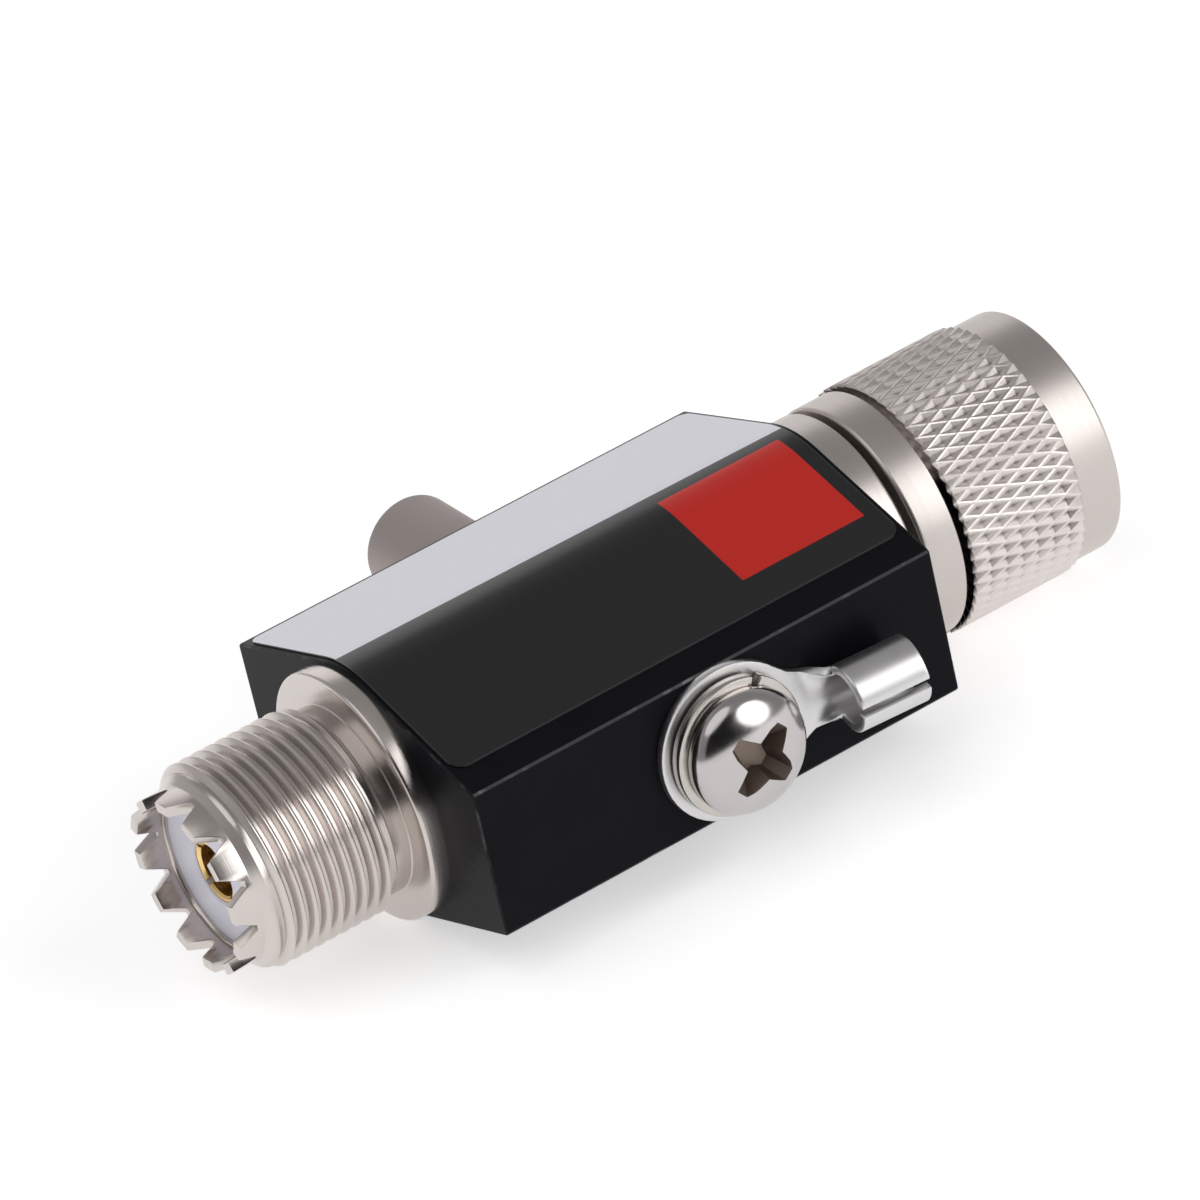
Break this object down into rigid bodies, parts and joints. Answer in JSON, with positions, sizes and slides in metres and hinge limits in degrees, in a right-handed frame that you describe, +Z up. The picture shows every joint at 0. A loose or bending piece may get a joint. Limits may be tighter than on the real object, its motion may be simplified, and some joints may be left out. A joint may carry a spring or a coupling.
{
  "type": "coax lightning arrestor",
  "caption": "In-line coaxial lightning arrestor with a threaded UHF socket, a UHF plug with a knurled coupling nut, a screw-capped gas tube and an earth screw with ring terminal.",
  "frame": {"origin": "on the coax line, in the plane where a mating socket's crown seats inside the plug", "axes": "+X along the coax line out of the plug, +Y towards the gas-tube cap, +Z up through the labelled ridge"},
  "size_m": [0.0745, 0.0468, 0.0199],
  "materials": {
    "black_body": "satin black anodised",
    "label_film": "printed film in black, silver and red",
    "nickel": "nickel plated",
    "gold": "gold plated",
    "insulator": "white, slightly translucent",
    "bare_brass": "turned",
    "spring_steel": "bright",
    "screw_steel": "bright nickel plated",
    "tinned_copper": "bright tin plated",
    "tube_ceramic": "matt"
  },
  "bodies": {
    "arrestor": {"hex_body": "black_body", "body_label": "label_film", "socket_shell": "nickel", "socket_insulator": "insulator", "socket_contact": "gold", "centre_conductor": "bare_brass", "plug_shell": "nickel", "plug_insulator": "insulator", "plug_pin": "nickel", "retaining_ring": "spring_steel", "tube_inner_electrode": "spring_steel", "tube_ceramic": "tube_ceramic", "tube_outer_electrode": "spring_steel"},
    "nut": {"coupling_nut": "nickel"},
    "spring": {"contact_spring": "spring_steel"},
    "cap": {"tube_cap": "nickel"},
    "washer": {"spring_washer": "screw_steel"},
    "screw": {"ground_screw": "screw_steel"},
    "terminal": {"ring_terminal": "tinned_copper"}
  },
  "joints": [
    {"name": "nut_spin", "type": "hinge", "parent": "arrestor", "child": "nut", "pos_m": [0, 0, 0], "axis": [1, 0, 0], "continuous": true},
    {"name": "spring_lift", "type": "slide", "parent": "arrestor", "child": "spring", "axis": [0, 1, 0], "range_m": [0, 0.004]},
    {"name": "cap_turn", "type": "hinge", "parent": "spring", "child": "cap", "pos_m": [-0.0274, 0.02, 0], "axis": [0, 1, 0], "range_deg": [0, 1440]},
    {"name": "washer_lift", "type": "slide", "parent": "arrestor", "child": "washer", "axis": [0, -1, 0], "range_m": [0, 0.0016]},
    {"name": "screw_turn", "type": "hinge", "parent": "washer", "child": "screw", "pos_m": [-0.0274, -0.017, 0], "axis": [0, -1, 0], "range_deg": [0, 720]},
    {"name": "terminal_swivel", "type": "hinge", "parent": "arrestor", "child": "terminal", "pos_m": [-0.0274, -0.0157, 0], "axis": [0, -1, 0], "continuous": true}
  ],
  "couplings": [
    {"joint": "cap_turn", "follows": "spring_lift", "rad_per_m": 6283.2},
    {"joint": "screw_turn", "follows": "washer_lift", "rad_per_m": 7854}
  ]
}
